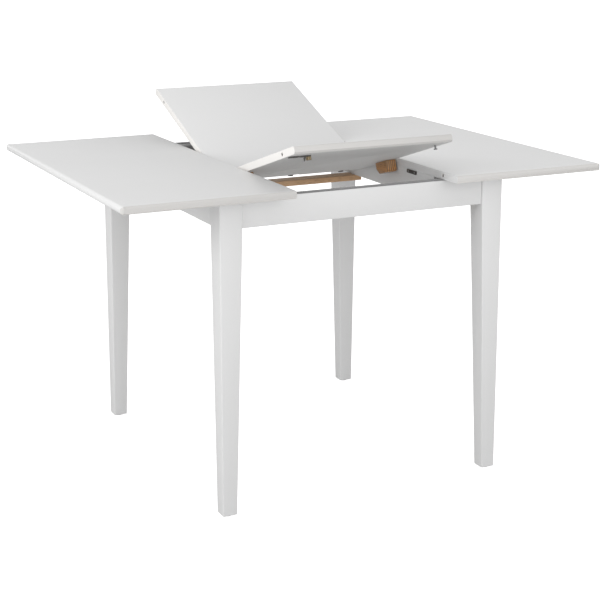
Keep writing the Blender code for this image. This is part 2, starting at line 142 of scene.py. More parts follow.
def buildFilmGroup():
    # sprayed lacquer: slow shade drift, roller-fine peel, sparse nibs, faint grain from below
    tree, given, result = startGroup(
        "sprayedFilm",
        [("Vector", direction, None), ("Peel", number, 0.2), ("Gloss", number, 0.4),
         ("Grain", number, 0.2)],
        [("Shade", number), ("Roughness", number), ("Normal", direction)],
    )
    place = given.outputs["Vector"]
    drift = putNode(tree, "ShaderNodeTexNoise", {
        "Vector": place, "Scale": 2.6, "Detail": 3.0, "Roughness": 0.55})
    peel = putNode(tree, "ShaderNodeTexNoise", {
        "Vector": place, "Scale": 420.0, "Detail": 2.0, "Roughness": 0.5})
    nib = putNode(tree, "ShaderNodeTexVoronoi", {"Vector": place, "Scale": 46.0})
    long = putNode(tree, "ShaderNodeMapping", {"Vector": place, "Scale": (190.0, 4.0, 190.0)})
    grain = putNode(tree, "ShaderNodeTexNoise", {
        "Vector": long.outputs[0], "Scale": 1.0, "Detail": 4.0, "Roughness": 0.6})
    nibs = remap(tree, nib.outputs["Distance"], 0.035, 0.015)
    grainPart = calc(tree, "MULTIPLY", grain.outputs["Fac"], given.outputs["Grain"])
    wander = remap(tree, drift.outputs["Fac"], 0.3, 0.7)
    slowPart, finePart = calc(tree, "MULTIPLY", wander, 0.6), calc(tree, "MULTIPLY", grainPart, 0.5)
    shade = calc(tree, "ADD", slowPart, finePart)
    tree.links.new(calc(tree, "ADD", shade, calc(tree, "MULTIPLY", nibs, 0.25)), result.inputs["Shade"])
    patches = remap(tree, drift.outputs["Fac"], 0.3, 0.7, -0.03, 0.04)
    dull = calc(tree, "ADD", given.outputs["Gloss"], patches)
    tree.links.new(dull, result.inputs["Roughness"])
    height = calc(tree, "ADD", peel.outputs["Fac"], calc(tree, "ADD", grainPart, nibs))
    bump = putNode(tree, "ShaderNodeBump", {
        "Height": height, "Strength": given.outputs["Peel"], "Distance": 0.00012})
    tree.links.new(bump.outputs["Normal"], result.inputs["Normal"])
    return tree


def buildGrainGroup():
    # plain-sawn wood with its length along X of the vector it is given
    tree, given, result = startGroup(
        "sawnGrain",
        [("Vector", direction, None), ("Rings", number, 46.0), ("Waver", number, 2.4)],
        [("Tone", number), ("Streak", number), ("Pores", number), ("Normal", direction)],
    )
    place = given.outputs["Vector"]
    bandPlace = putNode(tree, "ShaderNodeMapping", {"Vector": place, "Scale": (0.16, 1.0, 1.0)})
    rings = putNode(tree, "ShaderNodeTexWave", {
        "Vector": bandPlace.outputs[0], "Scale": given.outputs["Rings"],
        "Distortion": given.outputs["Waver"], "Detail": 3.0, "Detail Scale": 1.4,
        "Detail Roughness": 0.6}, bands_direction="Y", wave_profile="SIN")
    slowPlace = putNode(tree, "ShaderNodeMapping", {"Vector": place, "Scale": (3.0, 38.0, 38.0)})
    slow = putNode(tree, "ShaderNodeTexNoise", {
        "Vector": slowPlace.outputs[0], "Scale": 1.0, "Detail": 4.0})
    porePlace = putNode(tree, "ShaderNodeMapping", {"Vector": place, "Scale": (60.0, 1500.0, 1500.0)})
    pores = putNode(tree, "ShaderNodeTexNoise", {
        "Vector": porePlace.outputs[0], "Scale": 1.0, "Detail": 2.0})
    tree.links.new(remap(tree, rings.outputs["Fac"], 0.1, 0.95), result.inputs["Tone"])
    tree.links.new(remap(tree, slow.outputs["Fac"], 0.35, 0.68), result.inputs["Streak"])
    poreMask = remap(tree, pores.outputs["Fac"], 0.58, 0.70)
    tree.links.new(poreMask, result.inputs["Pores"])
    height = calc(tree, "SUBTRACT", calc(tree, "MULTIPLY", rings.outputs["Fac"], 0.5), poreMask)
    bump = putNode(tree, "ShaderNodeBump", {"Height": height, "Strength": 0.35, "Distance": 0.0002})
    tree.links.new(bump.outputs["Normal"], result.inputs["Normal"])
    return tree


def buildMetalGroup():
    # drawn or pressed metal: fine lines one way, light handling marks
    tree, given, result = startGroup(
        "workedMetal",
        [("Vector", direction, None), ("Lines", direction, (20.0, 900.0, 900.0)),
         ("Base", number, 0.35)],
        [("Marks", number), ("Roughness", number), ("Normal", direction)],
    )
    place = given.outputs["Vector"]
    linePlace = putNode(tree, "ShaderNodeMapping", {"Vector": place, "Scale": given.outputs["Lines"]})
    lines = putNode(tree, "ShaderNodeTexNoise", {
        "Vector": linePlace.outputs[0], "Scale": 1.0, "Detail": 3.0})
    blotch = putNode(tree, "ShaderNodeTexNoise", {"Vector": place, "Scale": 95.0, "Detail": 4.0})
    tree.links.new(remap(tree, blotch.outputs["Fac"], 0.4, 0.68), result.inputs["Marks"])
    ridges = remap(tree, lines.outputs["Fac"], 0.3, 0.7, -0.06, 0.1)
    rough = calc(tree, "ADD", given.outputs["Base"], ridges)
    tree.links.new(rough, result.inputs["Roughness"])
    bump = putNode(tree, "ShaderNodeBump", {
        "Height": lines.outputs["Fac"], "Strength": 0.25, "Distance": 0.00008})
    tree.links.new(bump.outputs["Normal"], result.inputs["Normal"])
    return tree


def buildDustGroup():
    # dust that settles on upward faces
    tree, given, result = startGroup(
        "settledDust", [("Vector", direction, None), ("Amount", number, 0.2)], [("Mask", number)],
    )
    shape = tree.nodes.new("ShaderNodeNewGeometry")
    parts = putNode(tree, "ShaderNodeSeparateXYZ", {0: shape.outputs["Normal"]})
    upward = remap(tree, parts.outputs["Z"], 0.2, 0.9)
    speck = putNode(tree, "ShaderNodeTexNoise", {
        "Vector": given.outputs["Vector"], "Scale": 160.0, "Detail": 5.0})
    patch = remap(tree, speck.outputs["Fac"], 0.42, 0.72)
    mask = calc(tree, "MULTIPLY", calc(tree, "MULTIPLY", patch, upward), given.outputs["Amount"])
    tree.links.new(mask, result.inputs["Mask"])
    return tree


filmGroup, grainGroup = buildFilmGroup(), buildGrainGroup()
metalGroup, dustGroup = buildMetalGroup(), buildDustGroup()


def startMaterial(name, **fixed):
    made = bpy.data.materials.new(name)
    made.use_nodes = True
    tree = made.node_tree
    shader = tree.nodes["Principled BSDF"]
    for key, value in fixed.items():
        shader.inputs[key.replace("_", " ")].default_value = value
    place = tree.nodes.new("ShaderNodeTexCoord").outputs["Object"]
    return made, tree, shader, place


def useGroup(tree, group, **inputs):
    made = tree.nodes.new("ShaderNodeGroup")
    made.node_tree = group
    for key, value in inputs.items():
        if isinstance(value, bpy.types.NodeSocket):
            tree.links.new(value, made.inputs[key])
        else:
            made.inputs[key].default_value = value
    return made.outputs


def plug(tree, shader, base=None, roughness=None, normal=None):
    for key, socket in (("Base Color", base), ("Roughness", roughness), ("Normal", normal)):
        if socket is not None:
            tree.links.new(socket, shader.inputs[key])


def makeLacquer(name, look):
    made, tree, shader, place = startMaterial(
        name, Coat_Weight=look["coat"], Coat_Roughness=0.22, IOR=1.48)
    film = useGroup(
        tree, filmGroup, Vector=place, Peel=look["peel"], Gloss=look["gloss"], Grain=look["grain"])
    base = mixColour(tree, film["Shade"], colour(*look["light"]), colour(*look["shade"]))
    plug(tree, shader, base, film["Roughness"], film["Normal"])
    return made


def makeWood(name, look):
    made, tree, shader, place = startMaterial(name, IOR=1.5, Coat_Weight=look["oil"], Coat_Roughness=0.35)
    turned = putNode(tree, "ShaderNodeMapping", {"Vector": place, "Rotation": look["turn"]})
    grain = useGroup(tree, grainGroup, Vector=turned.outputs[0], Rings=look["rings"], Waver=look["waver"])
    bands = mixColour(tree, grain["Tone"], colour(*look["early"]), colour(*look["late"]))
    streaks = mixColour(tree, grain["Streak"], bands, colour(*look["streak"]))
    base = mixColour(tree, grain["Pores"], streaks, colour(*look["pore"]))
    dull = remap(tree, grain["Tone"], 0, 1, look["dull"] - 0.06, look["dull"] + 0.06)
    plug(tree, shader, base, dull, grain["Normal"])
    return made


def makeMetal(name, look):
    made, tree, shader, place = startMaterial(name, Metallic=look["metallic"])
    worked = useGroup(tree, metalGroup, Vector=place, Lines=look["lines"], Base=look["rough"])
    marked = mixColour(tree, worked["Marks"], colour(*look["clean"]), colour(*look["marked"]))
    dust = useGroup(tree, dustGroup, Vector=place, Amount=look["dust"])
    base = mixColour(tree, dust["Mask"], marked, colour(0.5, 0.48, 0.45))
    plug(tree, shader, base, worked["Roughness"], worked["Normal"])
    return made


def makeFelt(name, look):
    made, tree, shader, place = startMaterial(name, Sheen_Weight=0.35, Sheen_Roughness=0.5, Roughness=0.95)
    fibre = putNode(tree, "ShaderNodeTexNoise", {
        "Vector": place, "Scale": 900.0, "Detail": 5.0, "Roughness": 0.7})
    clump = putNode(tree, "ShaderNodeTexNoise", {"Vector": place, "Scale": 140.0, "Detail": 3.0})
    strands = remap(tree, fibre.outputs["Fac"], 0.35, 0.65)
    soft = mixColour(tree, strands, colour(*look["dark"]), colour(*look["light"]))
    dust = useGroup(tree, dustGroup, Vector=place, Amount=0.15)
    base = mixColour(tree, dust["Mask"], soft, colour(0.45, 0.43, 0.40))
    height = calc(tree, "ADD", fibre.outputs["Fac"], clump.outputs["Fac"])
    bump = putNode(tree, "ShaderNodeBump", {"Height": height, "Strength": 0.6, "Distance": 0.0004})
    plug(tree, shader, base, None, bump.outputs["Normal"])
    return made


def makeMoulded(name, look):
    made, tree, shader, place = startMaterial(name, Subsurface_Weight=0.05)
    skin = putNode(tree, "ShaderNodeTexNoise", {"Vector": place, "Scale": 600.0, "Detail": 3.0})
    cloud = putNode(tree, "ShaderNodeTexNoise", {"Vector": place, "Scale": 60.0, "Detail": 3.0})
    mottle = remap(tree, cloud.outputs["Fac"], 0.35, 0.7)
    base = mixColour(tree, mottle, colour(*look["light"]), colour(*look["shade"]))
    bump = putNode(tree, "ShaderNodeBump", {
        "Height": skin.outputs["Fac"], "Strength": 0.3, "Distance": 0.0001})
    plug(tree, shader, base, remap(tree, cloud.outputs["Fac"], 0.3, 0.7, 0.4, 0.55), bump.outputs["Normal"])
    return made


boardWhite = {"light": (0.745, 0.745, 0.745), "shade": (0.725, 0.725, 0.722), "peel": 0.16, "gloss": 0.42,
              "grain": 0.10, "coat": 0.12}
# underside: uncoated, rougher lacquer, darker than the top as painted shade
underShadedWhite = {"light": (0.70, 0.695, 0.685), "shade": (0.66, 0.655, 0.645), "peel": 0.30, "gloss": 0.55,
              "grain": 0.25, "coat": 0.0}
# front edges: darker copy of the lacquer, painted shade
frontShadedWhite = {"light": (0.605, 0.594, 0.578), "shade": (0.58, 0.57, 0.555), "peel": 0.2, "gloss": 0.5,
              "grain": 0.3, "coat": 0.0}
# end faces and undercuts: lighter copy of the lacquer, painted light
edgeLitWhite = {"light": (0.86, 0.845, 0.82), "shade": (0.83, 0.81, 0.785), "peel": 0.25, "gloss": 0.5,
             "grain": 0.3, "coat": 0.0}
frameWhite = {"light": (0.735, 0.735, 0.735), "shade": (0.71, 0.71, 0.708), "peel": 0.20, "gloss": 0.45,
              "grain": 0.16, "coat": 0.08}
plankBrown = {"early": (0.60, 0.36, 0.19), "late": (0.43, 0.235, 0.115), "streak": (0.66, 0.44, 0.26),
              "pore": (0.20, 0.11, 0.06), "rings": 34.0, "waver": 3.0, "dull": 0.50, "oil": 0.1,
              "turn": (0.0, 0.0, 0.0)}
pivotBrown = {"early": (0.80, 0.36, 0.10), "late": (0.12, 0.065, 0.035), "streak": (0.34, 0.21, 0.11),
              "pore": (0.08, 0.04, 0.02), "rings": 62.0, "waver": 0.5, "dull": 0.45, "oil": 0.15,
              "turn": (0.0, 0.0, math.radians(90))}
blockPine = {"early": (0.62, 0.46, 0.29), "late": (0.48, 0.31, 0.17), "streak": (0.66, 0.52, 0.35),
             "pore": (0.35, 0.22, 0.12), "rings": 60.0, "waver": 2.0, "dull": 0.62, "oil": 0.0,
             "turn": (0.0, 0.0, math.radians(45))}
pinBrown = dict(plankBrown, rings=150.0)
railGrey = {"metallic": 0.85, "clean": (0.16, 0.16, 0.165), "marked": (0.22, 0.22, 0.22),
            "lines": (6.0, 700.0, 700.0), "rough": 0.42, "dust": 0.35}
zincSteel = {"metallic": 1.0, "clean": (0.52, 0.52, 0.54), "marked": (0.42, 0.42, 0.42),
             "lines": (300.0, 300.0, 300.0), "rough": 0.30, "dust": 0.10}
dullSteel = dict(zincSteel, clean=(0.24, 0.24, 0.25), marked=(0.14, 0.14, 0.14), rough=0.42)
blackSteel = {"metallic": 0.7, "clean": (0.07, 0.067, 0.064), "marked": (0.12, 0.115, 0.11),
              "lines": (200.0, 900.0, 200.0), "rough": 0.42, "dust": 0.25}
dullBrass = {"metallic": 1.0, "clean": (0.34, 0.28, 0.18), "marked": (0.16, 0.12, 0.07),
             "lines": (300.0, 300.0, 900.0), "rough": 0.34, "dust": 0.05}

materials = {
    "board_lacquer": makeLacquer("boardLacquer", boardWhite),
    # darker copy of the board lacquer for downward faces: painted shade
    "leafUnderside": makeLacquer("leafUnderside", underShadedWhite),
    # lighter copy of the board lacquer for end faces and undercuts: painted light
    "leafEdge": makeLacquer("leafEdge", edgeLitWhite),
    # darker copy of the board lacquer for front edges: painted shade
    "frontEdge": makeLacquer("frontEdge", frontShadedWhite),
    "frame_lacquer": makeLacquer("frameLacquer", frameWhite),
    "brown_wood": makeWood("plankWood", plankBrown),
    "pivotWood": makeWood("pivotWood", pivotBrown),
    "pinWood": makeWood("pinWood", pinBrown),
    "block_wood": makeWood("cornerBlockPine", blockPine),
    "strip_felt": makeFelt("stripFelt", {"dark": (0.13, 0.13, 0.135), "light": (0.26, 0.26, 0.26)}),
    "rail_metal": makeMetal("railMetal", railGrey),
    "zinc_steel": makeMetal("zincSteel", zincSteel),
    "dullSteel": makeMetal("dullSteel", dullSteel),
    "dark_steel": makeMetal("blackSteel", blackSteel),
    "knob_brass": makeMetal("knobBrass", dullBrass),
    "nylon": makeMoulded("nylon", {"light": (0.78, 0.78, 0.76), "shade": (0.68, 0.68, 0.65)}),
}
print("materials made:", len(materials))


# helpers for building pieces
def finishPiece(shape, name, body, looks, standsFor=(), place=placeFixed, smooth=32):
    bmesh.ops.transform(shape, matrix=place, verts=shape.verts[:])
    shape.normal_update()
    mesh = bpy.data.meshes.new(name)
    shape.to_mesh(mesh)
    shape.free()
    for look in looks:
        mesh.materials.append(materials[look])
    mesh.shade_smooth()
    mesh.set_sharp_from_angle(angle=math.radians(smooth))
    piece = bpy.data.objects.new(name, mesh)
    bpy.context.scene.collection.objects.link(piece)
    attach(piece, body)
    if standsFor:
        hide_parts(*standsFor)
    return piece


def standIn(shape, name, node, look, place=placeFixed, smooth=32):
    # a detailed piece that takes the place of one node
    return finishPiece(shape, name, bodyOfNode[node], [look], (node,), place, smooth)


def nodesNamed(test):
    return sorted(node for node in nodeObjects if test(node))


def camel(start, node, skip):
    return start + "".join(word.capitalize() for word in node.split("_")[skip:])


def addBox(shape, size, centre):
    return bmesh.ops.create_cube(
        shape, size=1.0, matrix=Matrix.Translation(centre) @ Matrix.Diagonal((*size, 1.0))
    )["verts"]


axisTurn = {"X": Matrix.Rotation(math.pi / 2, 4, "Y"), "Z": Matrix.Identity(4)}


def addRod(shape, radius, length, axis, centre, sides=32):
    return bmesh.ops.create_cone(
        shape, cap_ends=True, segments=sides, radius1=radius, radius2=radius,
        depth=length, matrix=Matrix.Translation(centre) @ axisTurn[axis],
    )["verts"]


def roundEdges(shape, edges, width, steps):
    return bmesh.ops.bevel(
        shape, geom=edges, offset=width, offset_type="OFFSET", segments=steps, affect="EDGES",
        profile=0.5, clamp_overlap=True, material=-1,
    )


def edgesAt(shape, test):
    return [edge for edge in shape.edges if all(test(vert.co) for vert in edge.verts)]


def edgesAlong(shape, axis):
    return [edge for edge in shape.edges if abs(edge.verts[0].co[axis] - edge.verts[1].co[axis]) > 1e-4]


def creases(shape, degrees):
    shape.normal_update()
    return [edge for edge in shape.edges if edge.calc_face_angle(0) > math.radians(degrees)]


def softBlock(size, centre, width, steps=3):
    shape = bmesh.new()
    addBox(shape, size, centre)
    roundEdges(shape, shape.edges[:], width, steps)
    return shape


def subtract(piece, cutterShapes):
    # cuts closed shapes out of a piece and keeps only the result
    cutter = bmesh.new()
    for build in cutterShapes:
        build(cutter)
    cutterMesh = bpy.data.meshes.new("cutterMesh")
    cutter.to_mesh(cutterMesh)
    cutter.free()
    cutterObject = bpy.data.objects.new("cutterTemporary", cutterMesh)
    bpy.context.scene.collection.objects.link(cutterObject)
    step = piece.modifiers.new("cut", "BOOLEAN")
    step.operation, step.solver, step.object = "DIFFERENCE", "EXACT", cutterObject
    done = bpy.data.meshes.new_from_object(
        piece.evaluated_get(bpy.context.evaluated_depsgraph_get())
    )
    piece.modifiers.clear()
    piece.data = done
    bpy.data.objects.remove(cutterObject, do_unlink=True)


# boards: two tops and the two leaf halves
boardEdge = {"round": 0.007, "roundSteps": 8, "undercut": 0.004, "planCorner": 0.020, "planSteps": 8,
             "arris": 0.0005, "holeRadius": 0.0041, "holeDeep": 0.012}


def shapeBoard(size, centre, outerX, outerY):
    shape = bmesh.new()
    half = Vector(size) / 2
    tiny = 1e-5
    addBox(shape, size, (0, 0, 0))

    def onOuter(co):
        return any(abs(co.x - sign * half.x) < tiny for sign in outerX) or any(
            abs(co.y - sign * half.y) < tiny for sign in outerY
        )

    if outerX:
        upright = edgesAt(shape, lambda co: any(
            abs(co.x - sx * half.x) < tiny and abs(co.y - sy * half.y) < tiny
            for sx in outerX for sy in outerY
        ))
        roundEdges(shape, upright, boardEdge["planCorner"], boardEdge["planSteps"])
    shape.normal_update()

    def profiled(face):
        slanted = abs(face.normal.x) > 0.05 and abs(face.normal.y) > 0.05
        return slanted or onOuter(face.calc_center_median())

    def rim(height):
        found = []
        for edge in shape.edges:
            if all(abs(vert.co.z - height) < tiny for vert in edge.verts):
                sides = [face for face in edge.link_faces if abs(face.normal.z) < 0.5]
                if len(sides) == 1 and profiled(sides[0]):
                    found.append(edge)
        return found

    roundEdges(shape, rim(half.z), boardEdge["round"], boardEdge["roundSteps"])
    roundEdges(shape, rim(-half.z), boardEdge["undercut"], 1)
    shape.normal_update()
    # the lacquer just softens the sawn edges
    crisp = [
        edge for edge in shape.edges
        if len(edge.link_faces) == 2 and edge.calc_face_angle(0) > math.radians(60)
    ]
    roundEdges(shape, crisp, boardEdge["arris"], 2)
    bmesh.ops.translate(shape, vec=centre, verts=shape.verts[:])
    return shape


def markUnderside(piece, place):
    # the underside takes the second material, a darker copy of the lacquer: painted shade
    down = (place.to_3x3() @ Vector((0, 0, -1))).normalized()
    for face in piece.data.polygons:
        if face.normal.dot(down) > 0.9:
            face.material_index = 1


def markFront(piece, lowest, first):
    # front edges take one look down to a given slope, and the next look below it; the looks are lacquer
    # copies, a darker one as painted shade on the front and, on the tops, a lighter one as painted light in
    # the undercut
    for face in piece.data.polygons:
        if face.normal.y < -0.35 and face.normal.z < 0.94:
            face.material_index = first if face.normal.z > lowest else first + 1


boards = [
    {"name": "leftTop", "node": "left_top", "side": -1},
    {"name": "rightTop", "node": "right_top", "side": 1},
]
pinY = abs(nodeBox("top_pin_front")[2].y)
pinHeight = nodeBox("top_pin_front")[2].z
for board in boards:
    low, high, middle, size = nodeBox(board["node"])
    shape = shapeBoard(size, middle, (board["side"],), (-1, 1))
    piece = finishPiece(
        shape, board["name"], bodyOfNode[board["node"]],
        ["board_lacquer", "leafUnderside", "frontEdge", "leafEdge"], (board["node"],),
    )
    innerX = low.x if board["side"] > 0 else high.x
    subtract(piece, [
        lambda shape, y=y: addRod(
            shape, boardEdge["holeRadius"], 2 * boardEdge["holeDeep"], "X", (innerX, y, pinHeight), 24)
        for y in (-pinY, pinY)
    ])
    markFront(piece, -0.1, 2)
    markUnderside(piece, placeFixed)

leafWidth = nodeBox("leaf_near_half")[3].x
leafHalfDepth = topSize.y / 2
hingeMortise = {"xs": [nodeBox(f"fold_hinge_near_{n}")[2].x for n in (1, 2, 3)],
                "size": (0.0306, 0.0246, 0.0150), "below": 0.0122}
leafHalves = [
    {"name": "leafNearHalf", "node": "leaf_near_half", "sign": -1, "place": placeNear},
    {"name": "leafFarHalf", "node": "leaf_far_half", "sign": 1, "place": placeFar},
]
for half in leafHalves:
    depth = leafHalfDepth - fitGap
    centre = Vector((0, half["sign"] * (fitGap + depth / 2), tableTop - boardThick / 2))
    shape = shapeBoard((leafWidth, depth, boardThick), centre, (), (half["sign"],))
    piece = finishPiece(
        shape, half["name"], bodyOfNode[half["node"]],
        ["board_lacquer", "leafUnderside", "leafEdge", "frontEdge"], (half["node"],),
    )
    cuts = [
        lambda shape, side=side: addRod(
            shape, boardEdge["holeRadius"], 2 * boardEdge["holeDeep"], "X",
            (side * leafWidth / 2, half["sign"] * pinY, pinHeight), 24)
        for side in (-1, 1)
    ] + [
        lambda shape, x=x: addBox(
            shape, hingeMortise["size"],
            (x, half["sign"] * fitGap, tableTop - hingeMortise["below"]))
        for x in hingeMortise["xs"]
    ]
    subtract(piece, cuts)
    if half["sign"] < 0:
        markFront(piece, -2.0, 3)
    piece.data.transform(half["place"])
    markUnderside(piece, half["place"])
    # end faces of the leaf take the lighter lacquer copy: painted light
    for face in piece.data.polygons:
        if abs(face.normal.x) > 0.95:
            face.material_index = 2
print("boards made")


# legs, tapered on their inner faces, and aprons
legLook = {"arris": 0.0024, "arrisSteps": 4, "straightAbove": 0.655, "footWidth": 0.035,
           "footEdge": 0.0024, "footSteps": 2, "sharp": 40}
for node in nodesNamed(lambda node: node.startswith("leg_")):
    low, high, middle, size = nodeBox(node)
    sx, sy = math.copysign(1, middle.x), math.copysign(1, middle.y)
    outer = Vector((max(abs(low.x), abs(high.x)) * sx, max(abs(low.y), abs(high.y)) * sy, 0))
    shape = bmesh.new()
    addBox(shape, size, middle)
    bmesh.ops.bisect_plane(
        shape, geom=shape.verts[:] + shape.edges[:] + shape.faces[:],
        plane_co=(0, 0, legLook["straightAbove"]), plane_no=(0, 0, 1),
    )
    for vert in shape.verts:
        if vert.co.z < low.z + 1e-5:
            if abs(vert.co.x - outer.x) > 1e-4:
                vert.co.x = outer.x - sx * legLook["footWidth"]
            if abs(vert.co.y - outer.y) > 1e-4:
                vert.co.y = outer.y - sy * legLook["footWidth"]
    roundEdges(shape, edgesAlong(shape, 2), legLook["arris"], legLook["arrisSteps"])
    shape.normal_update()
    sole = edgesAt(shape, lambda co: co.z < low.z + 1e-5)
    roundEdges(shape, sole, legLook["footEdge"], legLook["footSteps"])
    standIn(shape, camel("leg", node, 1), node, "frame_lacquer", smooth=legLook["sharp"])

apronLook = {"arris": 0.0012, "steps": 3, "sharp": 40}
for node in nodesNamed(lambda node: node.endswith("_apron")):
    low, high, middle, size = nodeBox(node)
    shape = softBlock(size, middle, apronLook["arris"], apronLook["steps"])
    side = node.split("_")[0].capitalize()
    standIn(shape, "apron" + side, node, "frame_lacquer", smooth=apronLook["sharp"])
print("legs and aprons made")


screwLook = {"sides": 24, "taper": 0.88, "rim": 0.22, "slot": 0.26, "wall": 0.04}


def addScrew(shape, centre, outward, radius, proud):
    # countersunk head with a cross recess, its rim just proud of the surface
    made = bmesh.ops.create_cone(
        shape, cap_ends=True, segments=screwLook["sides"], radius1=radius,
        radius2=radius * screwLook["taper"], depth=2 * proud,
    )["verts"]
    faces = {face for vert in made for face in vert.link_faces}
    cap = max(faces, key=lambda face: face.calc_center_median().z)
    bmesh.ops.inset_individual(shape, faces=[cap], thickness=radius * screwLook["rim"], depth=0)
    for vert in cap.verts:
        reach = vert.co.xy.length
        across = min(abs(vert.co.x), abs(vert.co.y)) / reach
        if across > screwLook["slot"]:
            vert.co.xy = vert.co.xy * screwLook["slot"] / across
    bmesh.ops.inset_individual(shape, faces=[cap], thickness=radius * screwLook["wall"], depth=-proud)
    whole = {vert for face in cap.verts[0].link_faces for vert in face.verts} | set(made)
    pending = list(whole)
    while pending:
        for edge in pending.pop().link_edges:
            for vert in edge.verts:
                if vert not in whole:
                    whole.add(vert)
                    pending.append(vert)
    turned = Vector(outward).to_track_quat("Z", "Y").to_matrix().to_4x4()
    bmesh.ops.transform(shape, matrix=Matrix.Translation(centre) @ turned, verts=list(whole))


def screwSet(name, body, centres, outward, radius, proud, place=placeFixed):
    shape = bmesh.new()
    for centre in centres:
        addScrew(shape, centre, outward, radius, proud)
    finishPiece(shape, name, body, ["zinc_steel"], (), place)


# pivot blocks: wood under the near half, cut back at the lower rear corner
hangFrom = boardUnder - fitGap
pivotBlock = {"inner": 0.1735, "outer": 0.199, "fronts": {"Left": -0.159, "Right": -0.174},
              "rear": -0.118, "tall": 0.028, "frontCut": 0.004, "rearCut": 0.013, "arris": 0.0006,
              "screwYs": (-0.152, -0.139), "screwRadius": 0.0032, "screwProud": 0.0007}
for side, sign in (("Left", -1), ("Right", 1)):
    node = "pivot_block_" + side.lower()
    front = pivotBlock["fronts"][side]
    halfLong = (pivotBlock["rear"] - front) / 2
    wide = pivotBlock["outer"] - pivotBlock["inner"]
    shape = bmesh.new()
    addBox(shape, (wide, 2 * halfLong, pivotBlock["tall"]), (0, 0, 0))
    for end, width in ((-1, pivotBlock["frontCut"]), (1, pivotBlock["rearCut"])):
        lower = edgesAt(shape, lambda co: co.z < 0 and co.y * end > halfLong - 1e-5)
        roundEdges(shape, lower, width, 1)
    roundEdges(shape, creases(shape, 30), pivotBlock["arris"], 2)
    centre = Vector((
        sign * (pivotBlock["inner"] + pivotBlock["outer"]) / 2,
        (front + pivotBlock["rear"]) / 2, hangFrom - pivotBlock["tall"] / 2,
    ))
    bmesh.ops.translate(shape, vec=centre, verts=shape.verts[:])
    standIn(shape, "pivotBlock" + side, node, "pivotWood", placeNear)
    sole = centre.z - pivotBlock["tall"] / 2
    screwSet(
        "pivotBlockScrews" + side, bodyOfNode[node], [(centre.x, y, sole) for y in pivotBlock["screwYs"]],
        (0, 0, -1), pivotBlock["screwRadius"], pivotBlock["screwProud"], placeNear,
    )

# stow plank under the cross boards, its screws driven up from below
plankLook = {"arris": 0.0014, "steps": 3, "stem": 0.0019, "stemSides": 20, "headTall": 0.0020,
             "stemShort": 0.0022, "screwRadius": 0.0042, "screwProud": 0.0008}
low, high, middle, size = nodeBox("stow_plank")
plank = softBlock(size, middle, plankLook["arris"], plankLook["steps"])
standIn(plank, "stowPlank", "stow_plank", "brown_wood")
for side in ("left", "right"):
    node = "stow_screw_" + side
    low, high, middle, size = nodeBox(node)
    shape = bmesh.new()
    stemMiddle = (low.z + plankLook["headTall"] + high.z) / 2
    addRod(
        shape, plankLook["stem"], size.z - plankLook["stemShort"], "Z",
        (middle.x, middle.y, stemMiddle), plankLook["stemSides"],
    )
    addScrew(
        shape, (middle.x, middle.y, low.z + plankLook["screwProud"]), (0, 0, -1),
        plankLook["screwRadius"], plankLook["screwProud"],
    )
    standIn(shape, camel("stowScrew", node, 2), node, "dark_steel")

# cross boards with their rail notches and pivot holes
crossLook = {"arris": 0.0007, "steps": 2, "sharp": 50, "past": 0.010, "through": 0.05, "notchTall": 0.08,
             "holeRadius": 0.0043, "holeSides": 32}
railLow, railHigh, railMiddle, railSize = nodeBox("guide_rail_front")
notchWide = railSize.y + 2 * fitGap
for node in ("cross_board_left", "cross_board_right"):
    low, high, middle, size = nodeBox(node)
    shape = bmesh.new()
    addBox(shape, size, middle)
    piece = standIn(shape, camel("crossBoard", node, 2), node, "frame_lacquer")
    notchY = high.y + crossLook["past"] / 2 - notchWide / 2 + fitGap
    notchZ = railLow.z - fitGap + crossLook["notchTall"] / 2
    cuts = [
        lambda shape, end=end: addBox(
            shape, (crossLook["through"], notchWide + crossLook["past"], crossLook["notchTall"]),
            (middle.x, end * notchY, notchZ))
        for end in (-1, 1)
    ]
    cuts.append(lambda shape: addRod(
        shape, crossLook["holeRadius"], crossLook["through"], "X",
        (middle.x, pivotPoint.y, pivotPoint.z), crossLook["holeSides"]))
    subtract(piece, cuts)
    step = piece.modifiers.new("arris", "BEVEL")
    step.width, step.segments = crossLook["arris"], crossLook["steps"]
    step.limit_method, step.angle_limit = "ANGLE", math.radians(crossLook["sharp"])

# stop plates on the cross boards, each held by two screws
plateLook = {"corner": 0.0022, "cornerSteps": 4, "face": 0.0005, "screwRadius": 0.0024,
             "screwApart": 0.028, "screwSunk": 0.0003, "screwProud": 0.0004}
for side, sign in (("left", -1), ("right", 1)):
    node = "stop_plate_" + side
    low, high, middle, size = nodeBox(node)
    shape = bmesh.new()
    addBox(shape, size, middle)
    roundEdges(shape, edgesAlong(shape, 0), plateLook["corner"], plateLook["cornerSteps"])
    roundEdges(shape, creases(shape, 60), plateLook["face"], 2)
    faceX = low.x if sign > 0 else high.x
    standIn(shape, camel("stopPlate", node, 2), node, "dark_steel")
    centres = [
        (faceX + sign * plateLook["screwSunk"], middle.y + end * plateLook["screwApart"] / 2, middle.z)
        for end in (-1, 1)
    ]
    screwSet(
        camel("stopPlateScrews", node, 2), bodyOfNode[node], centres, (-sign, 0, 0),
        plateLook["screwRadius"], plateLook["screwProud"],
    )

